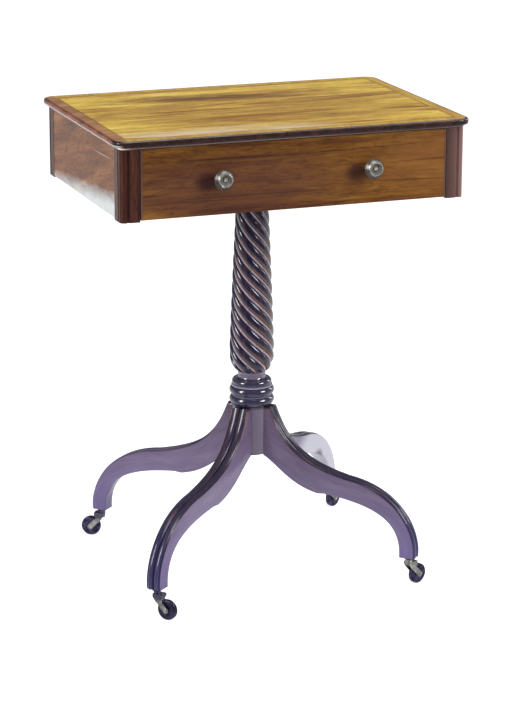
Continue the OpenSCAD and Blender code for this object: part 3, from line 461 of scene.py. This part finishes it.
# Knobs: turned brass with a dished face and a small boss, dull with age, screwed on from
# inside the drawer.
for side_name, centre in knob_dirt_and_shadow_centres.items():
    old_brass, tree, shader, coloured = metal(
        "knob_brass_" + side_name, (222, 216, 206), (160, 154, 144), 120.0, 0.3)
    across_face = place(tree, centre, scale=(1, 0, 1))
    from_axis = put(tree, "ShaderNodeVectorMath", {0: across_face}, operation="LENGTH").outputs["Value"]
    # Dirt in the ring round the boss, less in the dish, none on the rim, most on the flank
    dirt = ramp(tree, times(tree, from_axis, 50.0), [
        (0.13, 0.0), (0.16, 0.85), (0.21, 0.85), (0.26, 0.4), (0.4, 0.4), (0.44, 0.0),
        (0.53, 0.0), (0.58, 0.8)])
    tree.links.new(blend(tree, "MIX", dirt, coloured, tint(58, 54, 54)), shader.inputs["Base Color"])
    shader.inputs["Metallic"].default_value = 0.65
    dress(old_brass, "knob_" + side_name)

# Column: one dark turning carved with eight reeds that wind down it, with a thin light
# fillet between each two, rounded in to the neck. A ring stands above the spiral, and the
# tenon above that goes up through the block; a spigot below sits in the drum.
REEDS = 8
SPIRAL_TOP, SWELL_Z, NECK_Z = 0.5715, 0.343, 0.3115
SPIRAL_RISE = 0.001         # how far the reeds run on into the ring above them
TOP_R, SWELL_R, NECK_R = 0.0251, 0.0346, 0.0205
SPIRAL_LEAD = 0.176         # height in which a reed winds once round
REED_TURN = -4.5            # where the first reed ends at the neck, in degrees from +X
GROOVE = 0.0032             # greatest depth between two reeds
SPIRAL_STEPS, SHOULDER_STEPS = 56, 14
# One reed across: share of its pitch, and how far the surface lies below the crest
REED_SHAPE = [
    (0.0, 0.62), (0.055, 0.62), (0.1, 0.66), (0.12, 1.0), (0.15, 0.78), (0.19, 0.5), (0.25, 0.24),
    (0.32, 0.09), (0.41, 0.02), (0.5, 0.0), (0.59, 0.02), (0.68, 0.09), (0.75, 0.24), (0.81, 0.5),
    (0.85, 0.78), (0.88, 1.0), (0.9, 0.66), (0.945, 0.62)]


def shaft_radius(z):
    """Crest radius of the column at a height: a slow taper, and a round shoulder to the neck."""
    if z >= SWELL_Z:
        return SWELL_R - (SWELL_R - TOP_R) * ((z - SWELL_Z) / (SPIRAL_TOP - SWELL_Z)) ** 1.15
    down = (SWELL_Z - z) / (SWELL_Z - NECK_Z)
    return NECK_R + (SWELL_R - NECK_R) * math.sqrt(max(0.0, 1 - down ** 2))


def begin_ring(name, sides, radius, z):
    """A filled ring to extrude from, left open in edit mode."""
    bpy.ops.object.select_all(action="DESELECT")
    bpy.ops.mesh.primitive_circle_add(vertices=sides, radius=radius, fill_type="NGON", location=(0, 0, z))
    made = bpy.context.object
    made.name = made.data.name = name
    bpy.ops.object.transform_apply(location=True, rotation=False, scale=False)
    bpy.ops.object.mode_set(mode="EDIT")
    bpy.ops.mesh.select_all(action="SELECT")
    return made


def close_piece(made, smooth=35):
    """Leave edit mode with all faces outwards and soft shading up to an angle."""
    bpy.ops.mesh.select_all(action="SELECT")
    bpy.ops.mesh.remove_doubles(threshold=0.000001)
    bpy.ops.mesh.normals_make_consistent(inside=False)
    bpy.ops.object.mode_set(mode="OBJECT")
    bpy.ops.object.shade_smooth_by_angle(angle=math.radians(smooth))
    return made


def draw_on(z0, r0, z1, r1):
    """Extrude the selected ring from one height and radius to the next."""
    bpy.ops.mesh.extrude_region_move(TRANSFORM_OT_translate={"value": (0, 0, z1 - z0)})
    bpy.ops.transform.resize(value=(r1 / r0, r1 / r0, 1), center_override=(0, 0, z1))


def turned(name, profile, sides=64):
    """A turned piece on the column's axis: (height, radius) pairs drawn up from a filled ring."""
    made = begin_ring(name, sides, profile[0][1], profile[0][0])
    for lower, upper in zip(profile, profile[1:]):
        draw_on(*lower, *upper)
    return close_piece(made)


def reeded_shaft():
    """Ring with the reeds' section, drawn down the spiral step by step and turned at each."""
    made = begin_ring("reeded_shaft", REEDS * len(REED_SHAPE), 1.0, SPIRAL_TOP + SPIRAL_RISE)
    bpy.ops.object.mode_set(mode="OBJECT")
    mesh = made.data
    across = mesh.attributes.new("across_reed", "FLOAT_VECTOR", "POINT")
    whole_turn = 360 * (SPIRAL_TOP - NECK_Z) / SPIRAL_LEAD
    for k, vertex in enumerate(mesh.vertices):
        share, drop = REED_SHAPE[k % len(REED_SHAPE)]
        angle = math.radians(REED_TURN + 360 / REEDS * (k // len(REED_SHAPE) + share) - whole_turn)
        r = shaft_radius(SPIRAL_TOP) - GROOVE * drop
        vertex.co = (r * math.cos(angle), r * math.sin(angle), SPIRAL_TOP + SPIRAL_RISE)
        across.data[k].vector = (math.cos(math.tau * share), math.sin(math.tau * share), 0)
    bpy.ops.object.mode_set(mode="EDIT")
    bpy.ops.mesh.select_all(action="SELECT")
    levels = [SPIRAL_TOP - (SPIRAL_TOP - SWELL_Z) * i / SPIRAL_STEPS for i in range(1, SPIRAL_STEPS + 1)]
    levels += [SWELL_Z - (SWELL_Z - NECK_Z) * math.sin(math.pi / 2 * i / SHOULDER_STEPS)
               for i in range(1, SHOULDER_STEPS + 1)]
    z0, r0 = SPIRAL_TOP + SPIRAL_RISE, shaft_radius(SPIRAL_TOP)
    for z1 in levels:
        r1 = shaft_radius(z1)
        draw_on(z0, r0, z1, r1)
        bpy.ops.transform.rotate(value=-math.tau * (z0 - z1) / SPIRAL_LEAD, orient_axis="Z",
                                 center_override=(0, 0, z1))
        z0, r0 = z1, r1
    return close_piece(made, 50)


shaft = reeded_shaft()
ring = turned("shaft_ring", [(0.5713, 0.0245), (0.5715, 0.0252), (0.5725, 0.0262), (0.5755, 0.0266),
                             (0.5795, 0.0266), (0.5825, 0.0262), (0.5833, 0.0252), (0.5835, 0.0245),
                             (0.5836, 0.014), (0.6147, 0.014), (0.6155, 0.0132)])
spigot = turned("shaft_spigot", [(0.2815, 0.0092), (0.2823, 0.01), (0.313, 0.01)], 48)
bpy.ops.object.select_all(action="DESELECT")
for piece in (shaft, ring, spigot):
    piece.select_set(True)
bpy.context.view_layer.objects.active = shaft
bpy.ops.object.join()

dark_reeds, tree, shader = new_finish("dark_reeds")
reed_across = put(tree, "ShaderNodeAttribute", attribute_name="across_reed").outputs["Vector"]
crest = span(tree, axis_of(tree, reed_across, "X"), -1.0, 1.0)
side = span(tree, axis_of(tree, reed_across, "Y"), -1.0, 1.0)
wood_grain = cloud(tree, place(tree, (0, 0, 0.45), (0, 90, 0), (6, 160, 160)), 4.0, 0.6, 0.6)
reed_colour = ramp(tree, wood_grain, [
    (0.3, tint(14, 14, 46)), (0.5, tint(28, 24, 58)), (0.7, tint(78, 50, 46))])
fillet_colour = ramp(tree, wood_grain, [(0.3, tint(130, 114, 124)), (0.6, tint(172, 158, 172))])
on_fillet = ramp(tree, crest, [(0.82, 0.0), (0.94, 1.0)])
with_fillet = blend(tree, "MIX", on_fillet, reed_colour, fillet_colour)
# One flank of each reed is painted brown; the brown fades out near the top, leaving the top darker as
# painted shade under the frieze
out_of_frieze_shade = span(tree, axis_of(tree, on_object(tree), "Z"), 0.48, 0.56, 0.85, 0.2)
brown_flank = times(tree, ramp(tree, crest, [(0.3, 0.0), (0.55, 1.0), (0.84, 1.0), (0.92, 0.0)]),
               ramp(tree, side, [(0.45, 0.0), (0.62, 1.0)]), out_of_frieze_shade)
tree.links.new(blend(tree, "MIX", brown_flank, with_fillet, tint(130, 92, 58)), shader.inputs["Base Color"])
shader.inputs["Roughness"].default_value = 0.3
shader.inputs["Specular IOR Level"].default_value = 0.3
shader.inputs["Coat Weight"].default_value = 1.0
shader.inputs["Coat Roughness"].default_value = 0.1
shader.inputs["Coat IOR"].default_value = 1.8
shaft.data.materials.clear()
shaft.data.materials.append(dark_reeds)
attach(shaft, "table")
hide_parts("column_shaft")

column_wood, tree, shader, coloured = polished_wood(
    "turned_rings", "z", [(34, 30, 58), (50, 46, 78), (82, 66, 80)], long=2.0, across=40.0, pores=0.2,
    dark=(28, 20, 30), shine=0.3, coat=1.0, coat_rough=0.12, gloss=0.4)
neck_part = patch(tree, (0, 0, 0.335), (0.2, 0.2, 0.06), 0.4, 0.46)
drum_part = patch(tree, (0, 0, 0.16), (0.2, 0.2, 0.12), 0.17, 0.2)
pale_neck = blend(tree, "MIX", neck_part, coloured, tint(118, 106, 126))
pale_drum = blend(tree, "MIX", drum_part, pale_neck, tint(112, 100, 120))
# The quirks between the rings are lighter: three thin lines up the hub
up_hub = span(tree, axis_of(tree, on_object(tree), "Z"), 0.255, 0.305)
quirks = ramp(tree, up_hub, [
    (0.06, 0.0), (0.08, 1.0), (0.1, 0.0), (0.36, 0.0), (0.38, 1.0), (0.41, 0.0),
    (0.66, 0.0), (0.68, 1.0), (0.71, 1.0), (0.73, 0.0)])
lit_quirks = blend(tree, "MIX", times(tree, quirks, 0.65), pale_drum, tint(198, 188, 206))
tree.links.new(lit_quirks, shader.inputs["Base Color"])
shader.inputs["Coat IOR"].default_value = 1.8
dress(column_wood, "column_hub")

# Legs: four sabre legs sawn from thick dark wood, each with two broad reeds and a thin edge
# bead along its outer face and flat polished sides, keyed into the drum and bored for its
# castor. They stand a little unevenly, as on the real table.
LEGS = {"fl": (0.280, -140), "fr": (0.263, -44), "bl": (0.267, 133.5), "br": (0.280, 43.5)}
SHOULDER_Z, FOOT_Z, FOOT_DEPTH = 0.2585, 0.0465, 0.025
SEAT, SEAT_LOW_Z = 0.026, 0.181
WIDE, NARROW = 0.029, 0.023 # thickness at the drum and at the foot
ARRIS = 0.0012              # bevel of the lower edges
LEG_STEPS, REED_FACETS = 26, 12
# Outlines as curves from the drum to the foot: shares of the reach and of the leg's height
UPPER = [[(0.135, 1), (0.224, 0.709), (0.345, 0.613), (0.616, 0.538)],
         [(0.616, 0.538), (0.969, 0.486), (1.066, 0.153)]]
LOWER = [[(0.193, 0.57), (0.269, 0.434), (0.441, 0.397)],
         [(0.479, 0.402), (0.812, 0.364), (0.962, 0.264)]]
# Outer face from one side to its middle: share of the half width, and depth below the reeds' crests
REED_EDGE = [(1.0, 0.0036), (0.985, 0.0027), (0.945, 0.0022), (0.9, 0.0025), (0.87, 0.0046)]
REED_MID, REED_HALF, REED_HEIGHT, GROOVE_DEPTH = 0.455, 0.40, 0.0048, 0.0052


def bezier(points, t):
    """Point at t, 0 to 1, on a cubic curve with four control points."""
    a, b, c, d = (Vector(p) for p in points)
    return a * (1 - t) ** 3 + 3 * b * t * (1 - t) ** 2 + 3 * c * t * t * (1 - t) + d * t ** 3


def leg_stations(reach):
    """Pairs of points on the upper and lower outlines, from the drum out to the foot."""
    def spot(out, up):
        return (reach * out, FOOT_Z + (SHOULDER_Z - FOOT_Z) * up)
    steps = LEG_STEPS
    upper_in = [spot(*p) for p in UPPER[0]]
    upper_out = [spot(*p) for p in UPPER[1]] + [(reach + FOOT_DEPTH / 2, FOOT_Z)]
    lower_in = [(SEAT, SEAT_LOW_Z)] + [spot(*p) for p in LOWER[0]]
    lower_out = [spot(*p) for p in LOWER[1]] + [(reach - FOOT_DEPTH / 2, FOOT_Z)]
    pairs = [(Vector((SEAT, SHOULDER_Z)), Vector((SEAT, SEAT_LOW_Z + 0.0001)))]
    pairs += [(bezier(upper_in, i / steps), bezier(lower_in, 0.02 + 0.98 * i / steps))
              for i in range(steps + 1)]
    pairs += [(bezier(upper_out, i / steps), bezier(lower_out, max(0, i - 0.9) / (steps - 0.9)))
              for i in range(1, steps + 1)]
    return pairs


def leg_section(upper, lower, width):
    """One cross-section as (across, point in the side view) pairs, going round once."""
    rise = (upper - lower).normalized()
    half = width / 2
    right = [(half - ARRIS, lower), (half, lower + rise * ARRIS)]
    right += [(half * share, upper - rise * depth) for share, depth in REED_EDGE]
    for i in range(1, REED_FACETS):
        turn = math.pi * i / REED_FACETS
        right.append((half * (REED_MID + REED_HALF * math.cos(turn)),
                      upper - rise * (REED_HEIGHT * (1 - math.sin(turn) ** 0.8))))
    groove = [(0.0, upper - rise * GROOVE_DEPTH)]
    return right + groove + [(-across, point) for across, point in reversed(right)]


def sabre_leg(corner, reach, direction):
    """Leg drawn out section by section; two attributes keep the grain and the reeded face."""
    pairs = leg_stations(reach)
    made = begin_ring("sabre_leg_" + corner, len(leg_section(*pairs[0], WIDE)), 0.05, 0)
    bpy.ops.object.mode_set(mode="OBJECT")
    mesh = made.data
    grain = mesh.attributes.new("leg_grain", "FLOAT_VECTOR", "POINT")
    reeded = mesh.attributes.new("reeded_face", "FLOAT", "POINT")
    turn = Matrix.Rotation(math.radians(direction), 3, "Z")
    run = 0.0
    for number, (upper, lower) in enumerate(pairs):
        if number:
            run += ((upper + lower) / 2 - (pairs[number - 1][0] + pairs[number - 1][1]) / 2).length
            bpy.ops.object.mode_set(mode="EDIT")
            bpy.ops.mesh.extrude_region_move(TRANSFORM_OT_translate={"value": (0, 0, 0.05)})
            bpy.ops.object.mode_set(mode="OBJECT")
        width = WIDE + (NARROW - WIDE) * max(upper.x, lower.x) / (reach + FOOT_DEPTH)
        section = leg_section(upper, lower, width)
        fresh = [v.index for v in mesh.vertices if v.select]
        grain = mesh.attributes["leg_grain"]
        reeded = mesh.attributes["reeded_face"]
        for index, (across, point) in zip(fresh, section):
            mesh.vertices[index].co = turn @ Vector((point.x, across, point.y))
            grain.data[index].vector = (run, across, (point - lower).length)
            on_side = abs(across) > width / 2 - 0.0001 or (point - lower).length < 0.002
            reeded.data[index].value = 0.0 if on_side else 1.0
    bpy.ops.object.mode_set(mode="EDIT")
    return close_piece(made, 40)


legs = {corner: sabre_leg(corner, *facts) for corner, facts in LEGS.items()}

leg_wood, tree, shader = new_finish("leg_wood")
along = put(tree, "ShaderNodeAttribute", attribute_name="leg_grain").outputs["Vector"]
outer = put(tree, "ShaderNodeAttribute", attribute_name="reeded_face").outputs["Fac"]
stretched = put(tree, "ShaderNodeMapping", {"Vector": along, "Scale": (9, 120, 60)}).outputs[0]
fine = put(tree, "ShaderNodeMapping", {"Vector": along, "Scale": (30, 400, 400)}).outputs[0]
figure = cloud(tree, stretched, 4.0, 0.6, 0.8)
threads = cloud(tree, fine, 3.0, 0.6, 0.2)
up_leg = span(tree, axis_of(tree, on_object(tree), "Z"), 0.05, 0.26)
# Flat sides: violet grey, bluer at the foot and darker at the drum
side_colour = ramp(tree, figure, [
    (0.25, tint(124, 108, 136)), (0.5, tint(134, 120, 150)), (0.75, tint(146, 130, 156))])
by_height = ramp(tree, up_leg, [
    (0.0, tint(214, 208, 246)), (0.45, tint(236, 234, 240)),
    (0.8, tint(206, 200, 204)), (1.0, tint(186, 174, 176))])
side_shaded = blend(tree, "MULTIPLY", 1.0, side_colour, by_height)
front_right = patch(tree, (0.11, -0.1, 0.15), (0.14, 0.14, 0.12), 0.0, 0.4)
side_dull = blend(tree, "MULTIPLY", front_right, side_shaded, tint(234, 234, 234))
# Reeded face: nearly black, blue towards the foot, paler on the back left leg, worn at the edges
reed_dark = ramp(tree, figure, [
    (0.3, tint(38, 34, 60)), (0.52, tint(54, 48, 70)), (0.72, tint(92, 68, 68))])
low_reed = ramp(tree, up_leg, [(0.0, 0.55), (0.5, 0.0)])
reed_blue = blend(tree, "MIX", low_reed, reed_dark, tint(70, 66, 120))
back_left = patch(tree, (-0.17, 0.18, 0.15), (0.17, 0.17, 0.15), 0.0, 0.3, 0.6)
reed_pale = blend(tree, "MIX", back_left, reed_blue, tint(112, 98, 126))
off_middle = work(tree, "ABSOLUTE", axis_of(tree, along, "Y"))
near_edge = ramp(tree, span(tree, off_middle, 0.009, 0.015), [(0.3, 0.0), (0.5, 1.0)])
worn_edge = times(tree, near_edge, ramp(tree, figure, [(0.35, 0.3), (0.6, 0.9)]))
reed_worn = blend(tree, "MIX", worn_edge, reed_pale, tint(104, 68, 66))
both_faces = blend(tree, "MIX", outer, side_dull, reed_worn)
threaded = blend(tree, "MULTIPLY", 0.35, both_faces, ramp(tree, threads, [(0.35, 0.6), (0.6, 1.1)]))
# The back right leg has a pale painted glare on its sides, and a small dark round spot
br_glare_spot = patch(tree, (0.17, 0.143, 0.08), (0.12, 0.12, 0.11), 0.05, 0.3, 0.95)
painted_glare_sides = times(tree, br_glare_spot, work(tree, "SUBTRACT", 1.0, outer))
with_painted_glare = blend(tree, "MIX", painted_glare_sides, threaded, tint(194, 192, 204))
dark_spot = patch(tree, (0.17, 0.143, 0.106), (0.022, 0.022, 0.02), 0.1, 0.5, 0.85)
tree.links.new(blend(tree, "MIX", dark_spot, with_painted_glare, tint(74, 58, 62)), shader.inputs["Base Color"])
shader.inputs["Roughness"].default_value = 0.3
shader.inputs["Specular IOR Level"].default_value = 0.3
shader.inputs["Coat Weight"].default_value = 0.8
shader.inputs["Coat Roughness"].default_value = 0.1
for corner, leg in legs.items():
    leg.data.materials.append(leg_wood)
    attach(leg, "table")
    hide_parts("leg_" + corner)

# Castors: a dark stem with a flange screwed into the foot, a worn brass horn that swivels
# on it, and a small dark wheel on a riveted axle.
horn_brass, tree, shader, coloured = metal("castor_brass", (216, 212, 206), (140, 134, 132), 150.0, 0.3)
# The crowns of the horns are dark, except on the front right castor
horn_height = times(tree, axis_of(tree, on_object(tree), "Z"), 20.0)
at_crown = ramp(tree, horn_height, [(0.52, 0.0), (0.64, 0.9)])
elsewhere = ramp(tree, blob(tree, (0.195, -0.18, 0.02), (0.07, 0.07, 0.07)), [(0.0, 1.0), (0.3, 0.0)])
dark_crown = blend(tree, "MIX", times(tree, at_crown, elsewhere), coloured, tint(104, 98, 122))
tree.links.new(dark_crown, shader.inputs["Base Color"])
stem_metal = metal("castor_stems", (92, 80, 96), (52, 44, 56), 120.0, 0.35)[0]
wheel_metal = metal("castor_wheels", (96, 92, 122), (50, 46, 70), 120.0, 0.3)[0]
for corner in LEGS:
    dress(horn_brass, "castor_horn_" + corner, "castor_axle_" + corner)
    dress(stem_metal, "castor_stem_" + corner)
    dress(wheel_metal, "castor_wheel_" + corner)
